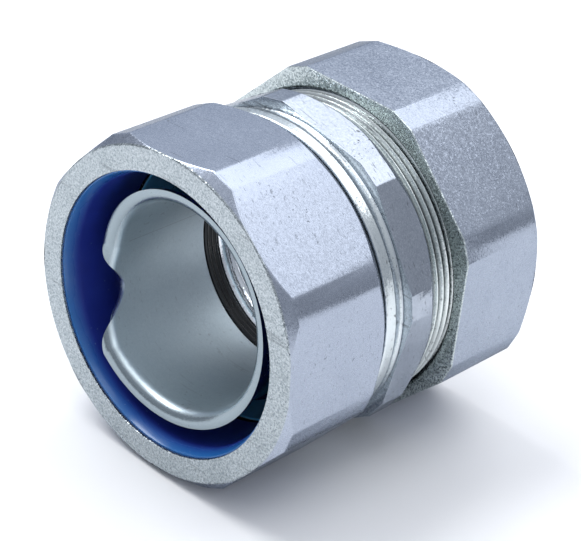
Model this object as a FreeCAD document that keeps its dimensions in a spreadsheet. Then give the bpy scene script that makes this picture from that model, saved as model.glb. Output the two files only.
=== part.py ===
import FreeCAD, Part
import math
import os
import Sketcher

# Coupling that joins a liquid-tight flexible conduit to a plain rigid conduit.
# Every piece is drawn with its axis on Z, its station measured from the hose mouth,
# and is then laid down so that the axis runs along +Y with the origin at mid-length.

doc = FreeCAD.newDocument("ConduitCoupling")
sheet = doc.addObject("Spreadsheet::Sheet", "Sizes")

# alias: (value in mm, degrees or turns, what it is)
driving_sizes = {
    "conduit_diameter": (48.3, "outside diameter of the rigid conduit"),
    "hose_diameter": (48.3, "outside diameter of the flexible conduit"),
    "hose_wall": (3.75, "wall of the flexible conduit"),
    "socket_clearance": (0.15, "radial gap between a conduit and its socket"),
    "slip_clearance": (0.3, "radial gap between a conduit and the rings in the nuts"),
    "thread_pitch": (1.5, "pitch of both nut threads"),
    "thread_form": (0.567, "height of the outside thread per unit of pitch"),
    "thread_gap": (0.1, "gap between mating thread faces"),
    "thread_lead": (1.0, "plain end of the body before the hose thread"),
    "thread_tail": (2.0, "plain part between the hose thread and the collar"),
    "conduit_thread_lead": (0.65, "plain part between the flange and the conduit thread"),
    "conduit_thread_tail": (0.95, "plain end of the body after the conduit thread"),
    "thread_margin": (1.6, "plain part at each end of a nut's thread"),
    "runout_length": (1.2, "thread relief in front of the collar and behind the flange"),
    "edge_break": (0.4, "edge break at the body's ends"),
    "nut_chamfer": (0.6, "chamfer at the threaded end of a nut"),
    "hose_socket_wall": (3.2, "socket bore to thread crest, hose end"),
    "conduit_socket_wall": (4.2, "socket bore to thread crest, conduit end"),
    "hose_nut_wall": (2.58, "thread crest to wide flat, hose nut"),
    "hose_nut_corner": (1.48, "wide flat to corner flat, hose nut"),
    "hose_nut_length": (23.35, "length of the hose nut"),
    "hose_nut_bevel": (1.7, "bevel round the hose nut's front edge"),
    "back_bevel_run": (1.16, "axial run of the hose nut's back bevel per mm of radius"),
    "back_bevel_depth": (0.45, "how far that bevel reaches below the wide flats"),
    "bevel_sink": (0.1, "how far both nuts' outer bevels reach below the wide flats"),
    "hose_nut_angle": (4.63, "turn of the hose nut from flat-down"),
    "conduit_nut_wall": (2.57, "thread crest to wide flat, conduit nut"),
    "conduit_nut_corner": (1.6, "wide flat to corner flat, conduit nut"),
    "conduit_nut_length": (20.7, "length of the conduit nut"),
    "conduit_nut_bevel": (1.6, "bevel round the conduit nut's outer edge"),
    "conduit_nut_angle": (0.0, "turn of the conduit nut from flat-down"),
    "flange_rise": (0.95, "thread crest to wide flat, wrench flange"),
    "flange_corner": (1.4, "wide flat to corner flat, wrench flange"),
    "flange_angle": (-11.2, "turn of the wrench flange from flat-down"),
    "flange_width": (7.2, "length of the wrench flange"),
    "flange_bevel_run": (1.45, "axial run of the flange's bevel per mm of radius"),
    "collar_rise": (1.8, "hose thread crest to collar"),
    "collar_width": (2.6, "length of the collar"),
    "collar_round": (0.5, "edge break of the collar"),
    "groove_width": (1.95, "groove between collar and flange"),
    "groove_depth": (0.75, "depth of that groove below the flange flats"),
    "fillet_step": (0.2, "short steps that soften grooves and shoulders"),
    "seated_gap": (0.05, "gap left when the hose nut is fully home"),
    "hose_nut_travel": (0.95, "advance of the hose nut until home"),
    "conduit_nut_travel": (3.0, "advance of the conduit nut until seated"),
    "conduit_nut_gap": (5.4, "conduit nut to flange, as drawn"),
    "engagement": (7.0, "conduit nut over the threads, as drawn"),
    "hose_thread_length": (12.75, "body end to collar on the hose side"),
    "hose_socket_depth": (19.6, "body end to inner stop on the hose side"),
    "stop_width": (4.2, "length of the inner stop"),
    "stop_opening": (17.6, "radius of the wireway through the stop"),
    "stop_round": (1.9, "rounding of the inner stop"),
    "mouth_taper_length": (3.9, "length of the gland seat taper"),
    "mouth_taper_rise": (2.4, "radial growth of the gland seat taper"),
    "ferrule_wall": (1.1, "wall of the ferrule tube"),
    "rib_height": (1.0, "height of the ferrule's hose thread"),
    "rib_pitch": (5.2, "pitch of the hose thread and of the rim's rise"),
    "rim_overhang": (1.05, "how far the rim stands over the hose's bore"),
    "rim_setback": (1.15, "mouth to the foremost point of the rim"),
    "ferrule_flange_width": (1.1, "thickness of the ferrule's inner flange"),
    "gasket_width": (3.1, "thickness of the gasket behind the ferrule"),
    "gasket_bore": (18.0, "bore radius of that gasket"),
    "gasket_groove": (0.35, "depth of the grooves round the gasket's bore"),
    "ferrule_edge": (0.3, "edge break at the ferrule's inner end"),
    "rib_foot_width": (2.4, "width of the ferrule's hose thread at its foot"),
    "rib_crest_width": (0.9, "width of that thread at its crest"),
    "rib_margin": (2.2, "plain part between that thread and the flange"),
    "rib_sink": (0.3, "how far that thread is sunk into the tube"),
    "mouth_clearance": (1.45, "radial gap between hose and the nut's mouth"),
    "mouth_length": (1.2, "straight part of the hose nut's mouth"),
    "seal_step": (1.25, "growth of the seal ring behind the mouth"),
    "seal_skirt_length": (4.5, "part of the seal ring that stands inside the body"),
    "seal_skirt_wall": (1.05, "wall of that part"),
    "seal_front": (0.6, "mouth to the seal ring's front edge"),
    "seal_lip": (0.35, "width of that front edge"),
    "seal_taper": (3.0, "length over which the ring's bore narrows to the hose"),
    "ring_gap": (0.15, "running gap between loose rings and their seats"),
    "relief_gap": (0.2, "gap over the thread crests in the reliefs"),
    "end_wall": (2.8, "end wall of the conduit nut"),
    "gland_shoulder": (1.5, "full-diameter part of the gland ring"),
    "gland_nose": (2.6, "length of the gland ring's nose"),
    "gland_tip_wall": (0.55, "wall of the gland ring's nose at its tip"),
    "gland_seat_gap": (0.4, "radial gap between the gland ring's nose and its seat"),
    "washer_width": (1.2, "thickness of the slip washer"),
    "grip_width": (4.85, "length of the grip ring"),
    "grip_split": (6.0, "gap in the split grip ring"),
    "grip_edge": (0.5, "edge break of the grip ring"),
    "spare": (1.0, "excess of a turned blank over the flats that are cut into it"),
    "grip_tooth": (0.45, "depth of the teeth in the grip ring's bore"),
}

# alias: expression in the sheet, worked out from the driving sizes
derived_sizes = {
    "socket_radius": "conduit_diameter / 2 + socket_clearance",
    "hose_bore": "hose_diameter / 2 + socket_clearance",
    "conduit_slip": "conduit_diameter / 2 + slip_clearance",
    "hose_slip": "hose_diameter / 2 + slip_clearance",
    "thread_height": "thread_pitch * thread_form",
    "hose_crest": "hose_bore + hose_socket_wall",
    "conduit_crest": "socket_radius + conduit_socket_wall",
    "hose_root": "hose_crest - thread_height",
    "conduit_root": "conduit_crest - thread_height",
    "hose_nut_flat": "hose_crest + hose_nut_wall",
    "conduit_nut_flat": "conduit_crest + conduit_nut_wall",
    "flange_flat": "max(hose_crest; conduit_crest) + flange_rise",
    "collar_radius": "hose_crest + collar_rise",
    "collar_start": "hose_nut_length + hose_nut_travel + seated_gap",
    "flange_start": "collar_start + collar_width + groove_width",
    "flange_end": "flange_start + flange_width",
    "conduit_nut_start": "flange_end + conduit_nut_gap",
    "overall_length": "conduit_nut_start + conduit_nut_length",
    "body_start": "collar_start - hose_thread_length",
    "body_end": "conduit_nut_start + engagement",
    "stop_start": "body_start + hose_socket_depth",
    "stop_end": "stop_start + stop_width",
    "hose_inner": "hose_diameter / 2 - hose_wall",
    "ferrule_radius": "hose_inner - rib_height",
    "ferrule_bore": "ferrule_radius - ferrule_wall",
    "rim_radius": "hose_inner + rim_overhang",
    "gasket_start": "stop_start - gasket_width - seated_gap",
    "ferrule_end": "gasket_start - seated_gap",
    "mouth_radius": "hose_diameter / 2 + mouth_clearance",
    "seal_cavity": "mouth_radius + seal_step + ring_gap",
    "seal_shoulder": "body_start - hose_nut_travel - relief_gap",
    "seal_end": "seal_shoulder + seal_skirt_length",
    "skirt_radius": "hose_slip + seal_skirt_wall",
    "skirt_bore": "skirt_radius + ring_gap",
    "skirt_bore_end": "seal_end + hose_nut_travel + relief_gap",
    "grip_cavity": "conduit_crest - thread_height - thread_gap - ring_gap",
    "cavity_end": "overall_length - end_wall",
    "grip_start": "cavity_end - seated_gap - grip_width",
    "washer_start": "grip_start - seated_gap - washer_width",
    "gland_end": "washer_start - seated_gap",
    "gland_face": "gland_end - gland_shoulder",
    "gland_tip": "gland_face - gland_nose",
    "relief_end": "body_end + conduit_nut_travel + relief_gap * 2",
    "runout_radius": "hose_root - ring_gap",
    "conduit_runout": "conduit_root - ring_gap",
    "flange_core": "max(hose_bore + ring_gap; conduit_runout)",
    "groove_radius": "flange_flat - groove_depth",
    "groove_end": "collar_start + collar_width + groove_depth / 2",
    "stop_corner": "stop_round * 0.3",
    "seat_radius": "socket_radius + mouth_taper_rise",
    "hose_thread_start": "body_start + thread_lead",
    "conduit_thread_start": "flange_end + conduit_thread_lead",
    "flange_tip": "flange_flat + flange_corner + spare",
    "hose_nut_tip": "hose_nut_flat + hose_nut_corner + spare",
    "conduit_nut_tip": "conduit_nut_flat + conduit_nut_corner + spare",
    "hose_nut_root": "hose_crest + thread_gap",
    "conduit_nut_root": "conduit_crest + thread_gap",
    "back_bevel_length": "(hose_nut_corner + spare + back_bevel_depth) * back_bevel_run",
    "seal_relief": "body_start - hose_nut_travel - relief_gap",
    "cone_end": "mouth_length + seal_step * 3",
    "ferrule_flange_start": "ferrule_end - ferrule_flange_width",
    "ferrule_flange_radius": "hose_bore - ring_gap * 2",
    "gasket_radius": "hose_bore - ring_gap",
    "ring_radius": "grip_cavity - ring_gap",
}


def fill_sheet():
    row = 0
    for alias, (value, meaning) in driving_sizes.items():
        row += 1
        sheet.set("A%d" % row, meaning)
        sheet.set("B%d" % row, str(value))
        sheet.setAlias("B%d" % row, alias)
    for alias, formula in derived_sizes.items():
        row += 1
        sheet.set("B%d" % row, "=" + formula)
        sheet.setAlias("B%d" % row, alias)
    doc.recompute()


fill_sheet()


def size(expression):
    # the value of an expression written with the sheet's aliases
    return float(sheet.evalExpression(expression))


def in_sheet(expression):
    # the same expression as seen from another object of the document
    words = []
    word = ""
    for letter in expression + " ":
        if letter.isalnum() or letter == "_":
            word += letter
            continue
        if word in driving_sizes or word in derived_sizes:
            word = "Sizes." + word
        words.append(word + letter)
        word = ""
    return "".join(words).strip()


def draw_section(sketch, corners):
    # closed outline through corners given as (radius, station) expressions
    points = [FreeCAD.Vector(size(radius), size(station), 0) for radius, station in corners]
    for index, point in enumerate(points):
        following = points[(index + 1) % len(points)]
        sketch.addGeometry(Part.LineSegment(point, following))
    last = len(points) - 1
    for index, (radius, station) in enumerate(corners):
        before = index - 1 if index else last
        sketch.addConstraint(Sketcher.Constraint("Coincident", before, 2, index, 1))
        across = sketch.addConstraint(Sketcher.Constraint("DistanceX", -1, 1, index, 1, points[index].x))
        sketch.setExpression("Constraints[%d]" % across, in_sheet(radius))
        along = sketch.addConstraint(Sketcher.Constraint("DistanceY", -1, 1, index, 1, points[index].y))
        sketch.setExpression("Constraints[%d]" % along, in_sheet(station))


def loose_section(name, corners):
    sketch = doc.addObject("Sketcher::SketchObject", name)
    upright = FreeCAD.Rotation(FreeCAD.Vector(1, 0, 0), 90)
    sketch.Placement = FreeCAD.Placement(FreeCAD.Vector(0, 0, 0), upright)
    draw_section(sketch, corners)
    return sketch


def turned_blank(name, corners):
    # solid of revolution used as an operand
    blank = doc.addObject("Part::Revolution", name)
    blank.Source = loose_section(name + "_section", corners)
    blank.Axis = FreeCAD.Vector(0, 0, 1)
    blank.Angle = 360
    blank.Solid = True
    return blank


def turned_body(name, corners):
    # body with one revolved section
    body = doc.addObject("PartDesign::Body", name)
    sketch = body.newObject("Sketcher::SketchObject", name + "_section")
    planes = [plane for plane in body.Origin.OriginFeatures if plane.Role == "XZ_Plane"]
    sketch.AttachmentSupport = [(planes[0], "")]
    sketch.MapMode = "FlatFace"
    draw_section(sketch, corners)
    turning = body.newObject("PartDesign::Revolution", name + "_turning")
    turning.Profile = sketch
    turning.ReferenceAxis = (sketch, ["V_Axis"])
    turning.Angle = 360
    body.Tip = turning
    return body


def wrench_shape(name, flat, corner, angle, length, turned):
    # eight wide flats with eight narrow corner flats, cut from a turned blank
    prisms = []
    for part_name, radius, turn in (("wide", flat, 22.5), ("narrow", flat + " + " + corner, 0.0)):
        prism = doc.addObject("Part::Prism", name + "_" + part_name)
        prism.Polygon = 8
        prism.setExpression("Circumradius", in_sheet("(%s) / cos(22.5 deg) * 1 mm" % radius))
        prism.setExpression("Height", in_sheet("(%s) * 1 mm" % length))
        prism.setExpression("Placement.Rotation.Angle", in_sheet("(%s - %s) * 1 deg" % (turn, angle)))
        prisms.append(prism)
    common = doc.addObject("Part::MultiCommon", name + "_flats")
    common.Shapes = prisms + [turned]
    return common


def thread_ridge(name, foot, foot_width, crest, crest_width, start, length, pitch):
    # helical ridge; foot and crest are radii, the widths are along the axis
    helix = doc.addObject("Part::Helix", name + "_helix")
    helix.setExpression("Pitch", in_sheet("(%s) * 1 mm" % pitch))
    helix.setExpression("Height", in_sheet("(%s) * 1 mm" % length))
    helix.setExpression("Radius", in_sheet("(%s) * 1 mm" % foot))
    helix.setExpression("Placement.Base.z", in_sheet("(%s) * 1 mm" % start))
    low_foot = "%s - (%s) / 2" % (start, foot_width)
    high_foot = "%s + (%s) / 2" % (start, foot_width)
    low_crest = "%s - (%s) / 2" % (start, crest_width)
    high_crest = "%s + (%s) / 2" % (start, crest_width)
    corners = [(foot, low_foot), (crest, low_crest), (crest, high_crest), (foot, high_foot)]
    sweep = doc.addObject("Part::Sweep", name)
    sweep.Sections = [loose_section(name + "_section", corners)]
    sweep.Spine = (helix, ["Edge1"])
    sweep.Solid = True
    sweep.Frenet = True
    return sweep


flank = "tan(30 deg)"
crest_flat = "thread_pitch / 8"
root_sink = 0.08       # how far a ridge is sunk into the wall that carries it


def outside_thread(name, crest, start, length):
    foot = "%s - thread_height - %s" % (crest, root_sink)
    foot_width = "%s + 2 * (thread_height + %s) * %s" % (crest_flat, root_sink, flank)
    return thread_ridge(name, foot, foot_width, crest, crest_flat, start, length, "thread_pitch")


def inside_thread(name, crest, start, length):
    # ridge in the nut, a gap clear of the outside thread on both flanks and at its crest
    valley = "thread_pitch - %s - 2 * thread_gap / cos(30 deg)" % crest_flat
    foot = "%s + thread_gap + %s" % (crest, root_sink)
    foot_width = "%s + 2 * (thread_gap + %s) * %s" % (valley, root_sink, flank)
    tip = "%s - thread_height + 2 * thread_gap" % crest
    tip_width = "%s - 2 * (thread_height - 2 * thread_gap) * %s" % (valley, flank)
    return thread_ridge(name, foot, foot_width, tip, tip_width, start, length, "thread_pitch")


def join(name, pieces):
    fusion = doc.addObject("Part::MultiFuse", name)
    fusion.Shapes = pieces
    fusion.Refine = False
    return fusion


def make_coupling_body():
    barrel = turned_blank("barrel", [
        ("skirt_bore", "body_start"),
        ("hose_root - edge_break", "body_start"),
        ("hose_root", "body_start + edge_break"),
        ("hose_root", "collar_start - runout_length - ring_gap"),
        ("runout_radius", "collar_start - runout_length"),
        ("runout_radius", "collar_start"),
        ("collar_radius - collar_round", "collar_start"),
        ("collar_radius", "collar_start + collar_round"),
        ("collar_radius", "collar_start + collar_width - collar_round"),
        ("collar_radius - collar_round", "collar_start + collar_width"),
        ("groove_radius", "groove_end"),
        ("groove_radius", "flange_start + fillet_step"),
        ("flange_core", "flange_start + flange_width / 2"),
        ("flange_core", "flange_end + fillet_step"),
        ("conduit_root", "flange_end + fillet_step * 2"),
        ("conduit_root", "body_end - edge_break"),
        ("conduit_root - edge_break", "body_end"),
        ("seat_radius", "body_end"),
        ("socket_radius", "body_end - mouth_taper_length"),
        ("socket_radius", "stop_end"),
        ("stop_opening + stop_round", "stop_end"),
        ("stop_opening + stop_corner", "stop_end - stop_corner"),
        ("stop_opening", "stop_end - stop_round"),
        ("stop_opening", "stop_start + stop_round"),
        ("stop_opening + stop_corner", "stop_start + stop_corner"),
        ("stop_opening + stop_round", "stop_start"),
        ("hose_bore", "stop_start"),
        ("hose_bore", "skirt_bore_end"),
        ("skirt_bore", "skirt_bore_end"),
    ])
    flange_disc = turned_blank("flange_disc", [
        ("flange_core", "flange_start"),
        ("flange_tip", "flange_start"),
        ("flange_tip", "flange_end - (flange_corner + spare) * flange_bevel_run"),
        ("flange_flat", "flange_end"),
        ("flange_core", "flange_end"),
    ])
    flange = wrench_shape("flange", "flange_flat", "flange_corner", "flange_angle",
                          "flange_end + spare", flange_disc)
    hose_thread = outside_thread("hose_thread", "hose_crest", "hose_thread_start",
                                 "hose_thread_length - thread_lead - thread_tail")
    conduit_thread = outside_thread("conduit_thread", "conduit_crest", "conduit_thread_start",
                                    "body_end - conduit_thread_start - conduit_thread_tail")
    return join("coupling_body", [barrel, flange, hose_thread, conduit_thread])


def make_hose_nut():
    blank = turned_blank("hose_nut_blank", [
        ("mouth_radius", "0"),
        ("hose_nut_flat - bevel_sink", "0"),
        ("hose_nut_tip", "hose_nut_bevel + spare"),
        ("hose_nut_tip", "hose_nut_length - back_bevel_length"),
        ("hose_nut_flat - back_bevel_depth", "hose_nut_length"),
        ("hose_nut_root + nut_chamfer", "hose_nut_length"),
        ("hose_nut_root", "hose_nut_length - nut_chamfer"),
        ("hose_nut_root", "seal_relief"),
        ("seal_cavity", "seal_relief - relief_gap"),
        ("seal_cavity", "cone_end"),
        ("mouth_radius", "mouth_length"),
    ])
    flats = wrench_shape("hose_nut", "hose_nut_flat", "hose_nut_corner", "hose_nut_angle",
                         "hose_nut_length", blank)
    thread = inside_thread("hose_nut_thread", "hose_crest", "hose_thread_start + thread_pitch / 2",
                           "hose_nut_length - hose_thread_start - thread_margin")
    return join("hose_nut", [flats, thread])


def make_conduit_nut():
    blank = turned_blank("conduit_nut_blank", [
        ("conduit_nut_root + nut_chamfer", "conduit_nut_start"),
        ("conduit_nut_tip", "conduit_nut_start"),
        ("conduit_nut_tip", "overall_length - conduit_nut_bevel - spare"),
        ("conduit_nut_flat - bevel_sink", "overall_length"),
        ("conduit_slip", "overall_length"),
        ("conduit_slip", "cavity_end"),
        ("grip_cavity", "cavity_end"),
        ("grip_cavity", "relief_end"),
        ("conduit_nut_root", "relief_end - relief_gap"),
        ("conduit_nut_root", "conduit_nut_start + nut_chamfer"),
    ])
    flats = wrench_shape("conduit_nut", "conduit_nut_flat", "conduit_nut_corner",
                         "conduit_nut_angle", "overall_length", blank)
    turns = "floor((conduit_nut_start + thread_margin - conduit_thread_start) / thread_pitch)"
    start = "conduit_thread_start + (%s + 0.5) * thread_pitch" % turns
    thread = inside_thread("conduit_nut_thread", "conduit_crest", start,
                           "engagement - thread_margin - thread_lead")
    return join("conduit_nut", [flats, thread])


def make_seal_ring():
    return turned_body("hose_seal_ring", [
        ("mouth_radius - seal_lip", "seal_front"),
        ("mouth_radius - ring_gap", "seal_front"),
        ("mouth_radius - ring_gap", "mouth_length"),
        ("seal_cavity - ring_gap", "cone_end"),
        ("seal_cavity - ring_gap", "seal_shoulder"),
        ("skirt_radius", "seal_shoulder"),
        ("skirt_radius", "seal_end"),
        ("hose_slip", "seal_end"),
        ("hose_slip", "seal_front + seal_taper"),
    ])


def make_gasket():
    corners = [("gasket_radius", "gasket_start")]
    corners.append(("gasket_radius", "gasket_start + gasket_width"))
    ridges = 3
    for ridge in range(ridges, 0, -1):
        top = "gasket_start + gasket_width * %d / %d" % (ridge, ridges)
        valley = "gasket_start + gasket_width * (%d - 0.5) / %d" % (ridge, ridges)
        corners.append(("gasket_bore", top))
        corners.append(("gasket_bore + gasket_groove", valley))
    corners.append(("gasket_bore", "gasket_start"))
    return turned_body("ferrule_gasket", corners)


def make_gland_ring():
    return turned_body("gland_ring", [
        ("conduit_slip", "gland_tip"),
        ("conduit_slip + gland_tip_wall", "gland_tip"),
        ("seat_radius - gland_seat_gap", "gland_face"),
        ("ring_radius", "gland_face"),
        ("ring_radius", "gland_end"),
        ("conduit_slip", "gland_end"),
    ])


def make_slip_washer():
    return turned_body("slip_washer", [
        ("conduit_slip", "washer_start"),
        ("ring_radius", "washer_start"),
        ("ring_radius", "washer_start + washer_width"),
        ("conduit_slip", "washer_start + washer_width"),
    ])


def make_grip_ring():
    teeth = 4
    corners = [("ring_radius - grip_edge", "grip_start")]
    corners.append(("ring_radius", "grip_start + grip_edge"))
    corners.append(("ring_radius", "grip_start + grip_width"))
    for tooth in range(teeth, 0, -1):
        tip = "grip_start + grip_width * %d / %d" % (tooth, teeth)
        valley = "grip_start + grip_width * (%d - 0.7) / %d" % (tooth, teeth)
        corners.append(("conduit_slip", tip))
        corners.append(("conduit_slip + grip_tooth", valley))
    corners.append(("conduit_slip", "grip_start"))
    ring = turned_blank("grip_blank", corners)
    slot = doc.addObject("Part::Box", "grip_slot")
    slot.setExpression("Length", "Sizes.grip_split * 1 mm")
    slot.setExpression("Width", "Sizes.grip_cavity * 1 mm")
    slot.setExpression("Height", "(Sizes.grip_width + Sizes.spare * 2) * 1 mm")
    slot.setExpression("Placement.Base.x", "-Sizes.grip_split / 2 * 1 mm")
    slot.setExpression("Placement.Base.z", "(Sizes.grip_start - Sizes.spare) * 1 mm")
    cut = doc.addObject("Part::Cut", "grip_ring")
    cut.Base = ring
    cut.Tool = slot
    return cut


# Ferrule rim: it rises along a helix for most of the turn, then dips into a scalloped notch.
# Angles are in degrees, counterclockwise from +X as seen from the hose mouth.
rim_low_angle = 227.0
rim_high_angle = 533.0
notch_angle = 558.0
notch_drop = 2.2       # straight wall cut away below the flare at the notch
flare_sweep = math.radians(75.0)
wall_inset = 0.04      # the rim's wall is this much thinner on each side than the tube it sinks into
foot_margin = 1.5      # straight wall below the notch, where the rim meets the tube
climb_steps = 18
notch_steps = 10
wall_shares = [0.0, 0.35, 0.55, 0.7, 0.8, 0.9, 1.0]     # finer towards the flare
flare_rise = size("rim_radius - ferrule_bore - ferrule_edge") - wall_inset
flare_radius = flare_rise / (1.0 - math.cos(flare_sweep))


def rim_station(angle):
    # station of the uncut rim at an angle between the low end and one full turn later
    climb = min(angle, rim_high_angle) - rim_low_angle
    return size("rim_setback") + size("rib_pitch") * climb / 360.0


def notch_depth(angle):
    # how much is cut off the rim, measured along the flared wall
    if angle <= rim_high_angle:
        return 0.0
    full = notch_drop + flare_radius * flare_sweep
    if angle <= notch_angle:
        share = (angle - rim_high_angle) / (notch_angle - rim_high_angle)
    else:
        share = (rim_low_angle + 360.0 - angle) / (rim_low_angle + 360.0 - notch_angle)
    return full * (0.5 - 0.5 * math.cos(math.pi * share))


def flare_point(base, top, cut, share, offset):
    # a point on the tube-and-flare wall; share runs from the base (0) to the rim (1)
    bore = size("ferrule_bore") + wall_inset
    straight = base - top - flare_radius * math.sin(flare_sweep)
    run = share * (straight + flare_radius * flare_sweep - cut)
    if run <= straight:
        return bore + offset, base - run
    turn = (run - straight) / flare_radius
    radius = bore + flare_radius - (flare_radius - offset) * math.cos(turn)
    return radius, base - straight - (flare_radius - offset) * math.sin(turn)


def rim_wire(angle, base):
    # closed section of the rim's wall at one angle
    if angle <= rim_high_angle:
        top = rim_station(angle)
    else:
        share = (angle - rim_high_angle) / (rim_low_angle + 360.0 - rim_high_angle)
        top = rim_station(rim_high_angle) * (1 - share) + size("rim_setback") * share
    cut = notch_depth(angle)
    wall = size("ferrule_wall") - 2 * wall_inset
    outline = [flare_point(base, top, cut, share, 0.0) for share in wall_shares]
    outline += [flare_point(base, top, cut, share, wall) for share in reversed(wall_shares)]
    turn = math.radians(-angle)
    corners = [FreeCAD.Vector(r * math.cos(turn), r * math.sin(turn), z) for r, z in outline]
    return Part.makePolygon(corners + [corners[0]])


def make_ferrule():
    rim_foot = rim_station(rim_high_angle) + flare_radius + notch_drop + foot_margin
    tube_start = "%s - spare" % rim_foot
    climb = [rim_low_angle + (rim_high_angle - rim_low_angle) * step / climb_steps
             for step in range(climb_steps + 1)]
    low_again = rim_low_angle + 360.0
    notch = [rim_high_angle + (low_again - rim_high_angle) * step / notch_steps
             for step in range(notch_steps + 1)]
    rising = Part.makeLoft([rim_wire(angle, rim_foot) for angle in climb], True, False)
    dipping = Part.makeLoft([rim_wire(angle, rim_foot) for angle in notch], True, False)
    rim = doc.addObject("Part::Feature", "ferrule_rim")
    rim.Shape = rising.fuse(dipping)
    tube = turned_blank("ferrule_tube", [
        ("ferrule_bore", tube_start),
        ("ferrule_radius", tube_start),
        ("ferrule_radius", "ferrule_flange_start - fillet_step * 2"),
        ("ferrule_radius + fillet_step * 2", "ferrule_flange_start"),
        ("ferrule_flange_radius", "ferrule_flange_start"),
        ("ferrule_flange_radius", "ferrule_end"),
        ("ferrule_bore + ferrule_edge", "ferrule_end"),
        ("ferrule_bore", "ferrule_end - ferrule_edge"),
    ])
    rib = thread_ridge("ferrule_rib", "ferrule_radius - rib_sink", "rib_foot_width",
                       "ferrule_radius + rib_height", "rib_crest_width", str(rim_foot),
                       "ferrule_flange_start - rib_margin - %s" % rim_foot, "rib_pitch")
    return join("ferrule", [rim, tube, rib])


parts = [
    make_coupling_body(),
    make_hose_nut(),
    make_seal_ring(),
    make_ferrule(),
    make_gasket(),
    make_conduit_nut(),
    make_gland_ring(),
    make_slip_washer(),
    make_grip_ring(),
]
labels = ["coupling_body", "hose_nut", "hose_seal_ring", "ferrule", "ferrule_gasket",
          "conduit_nut", "gland_ring", "slip_washer", "grip_ring"]

doc.recompute()
lay_down = FreeCAD.Rotation(FreeCAD.Vector(1, 0, 0), -90)
for part, label in zip(parts, labels):
    part.Label = label
    part.Placement = FreeCAD.Placement(FreeCAD.Vector(0, -size("overall_length") / 2, 0), lay_down)
doc.recompute()

for item in doc.Objects:
    if "Invalid" in item.State or "Error" in item.State:
        raise RuntimeError("failed feature: " + item.Name)
os.makedirs("parts", exist_ok=True)
for part in parts:
    if part.Shape.isNull() or not part.Shape.isValid():
        raise RuntimeError("bad shape: " + part.Label)
for part in parts:
    print("%-16s solids %d volume %.0f" % (part.Label, len(part.Shape.Solids), part.Shape.Volume))
    part.Shape.exportStep("parts/" + part.Label + ".step")
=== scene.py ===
import bpy
import math
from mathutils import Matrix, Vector


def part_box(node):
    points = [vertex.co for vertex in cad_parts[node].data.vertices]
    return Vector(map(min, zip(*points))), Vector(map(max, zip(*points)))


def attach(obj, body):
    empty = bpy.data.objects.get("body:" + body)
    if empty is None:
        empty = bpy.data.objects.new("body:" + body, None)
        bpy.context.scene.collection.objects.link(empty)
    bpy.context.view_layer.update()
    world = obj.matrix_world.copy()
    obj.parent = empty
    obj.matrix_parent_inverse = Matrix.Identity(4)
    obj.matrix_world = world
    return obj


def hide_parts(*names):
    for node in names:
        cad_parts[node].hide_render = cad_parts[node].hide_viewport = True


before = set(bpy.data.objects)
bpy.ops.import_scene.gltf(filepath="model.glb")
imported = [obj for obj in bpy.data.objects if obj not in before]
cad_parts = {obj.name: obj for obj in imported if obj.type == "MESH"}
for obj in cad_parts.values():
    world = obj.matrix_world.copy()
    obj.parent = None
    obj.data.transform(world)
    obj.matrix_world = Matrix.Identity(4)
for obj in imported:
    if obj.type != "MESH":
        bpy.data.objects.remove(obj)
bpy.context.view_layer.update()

mm = 0.001
roundSteps = 192             # facets of every turned piece
ridgeSteps = 96              # steps of a thread in one turn
threadPitch = 1.5            # of both outside threads, in mm
flatCount = 8                # wide flats of each nut and of the flange
halfFlat = 180 / flatCount   # half the angle one flat takes up, in degrees
axisTurn = math.radians(90)  # lays a cylinder's axis along Y
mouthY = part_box("hose_nut")[0].y
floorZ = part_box("conduit_nut")[0].z


def stations(node):
    # where a node starts and ends along the axis, in mm from the hose mouth
    low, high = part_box(node)
    return (low.y - mouthY) / mm, (high.y - mouthY) / mm


# small steps that every piece is made with

def deselectAll():
    if bpy.context.mode != "OBJECT":
        bpy.ops.object.mode_set(mode="OBJECT")
    bpy.ops.object.select_all(action="DESELECT")


def makeActive(piece):
    deselectAll()
    piece.select_set(True)
    bpy.context.view_layer.objects.active = piece


def editAll(piece):
    makeActive(piece)
    bpy.ops.object.mode_set(mode="EDIT")
    bpy.ops.mesh.select_all(action="SELECT")


def leaveEdit():
    bpy.ops.object.mode_set(mode="OBJECT")


def settle(piece):
    # leaves the piece's object at the origin, unturned and unscaled
    makeActive(piece)
    bpy.ops.object.transform_apply(location=True, rotation=True, scale=True)
    return piece


def runModifier(piece, kind, **settings):
    makeActive(piece)
    modifier = piece.modifiers.new(kind.title(), kind)
    for name, value in settings.items():
        setattr(modifier, name, value)
    bpy.ops.object.modifier_apply(modifier=modifier.name)


def combine(piece, other, operation):
    # boolean with a second solid, which is then removed
    runModifier(piece, "BOOLEAN", object=other, operation=operation, solver="EXACT")
    bpy.data.objects.remove(other, do_unlink=True)


def cleanUp(piece, tolerance=0.004):
    editAll(piece)
    bpy.ops.mesh.remove_doubles(threshold=tolerance * mm)
    bpy.ops.mesh.normals_make_consistent(inside=False)
    leaveEdit()


def turnOutward(piece):
    # a closed piece whose faces look inward has a negative volume
    piece.data.calc_loop_triangles()
    points = piece.data.vertices
    volume = 0.0
    for triangle in piece.data.loop_triangles:
        first, second, third = (points[index].co for index in triangle.vertices)
        volume += first.dot(second.cross(third))
    if volume < 0:
        editAll(piece)
        bpy.ops.mesh.flip_normals()
        leaveEdit()


def smooth(piece, angle=32):
    # wide faces keep their own direction and narrow ones blend into them
    turnOutward(piece)
    makeActive(piece)
    bpy.ops.object.shade_smooth_by_angle(angle=math.radians(angle))
    runModifier(piece, "WEIGHTED_NORMAL", mode="FACE_AREA", weight=80, keep_sharp=True)


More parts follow.
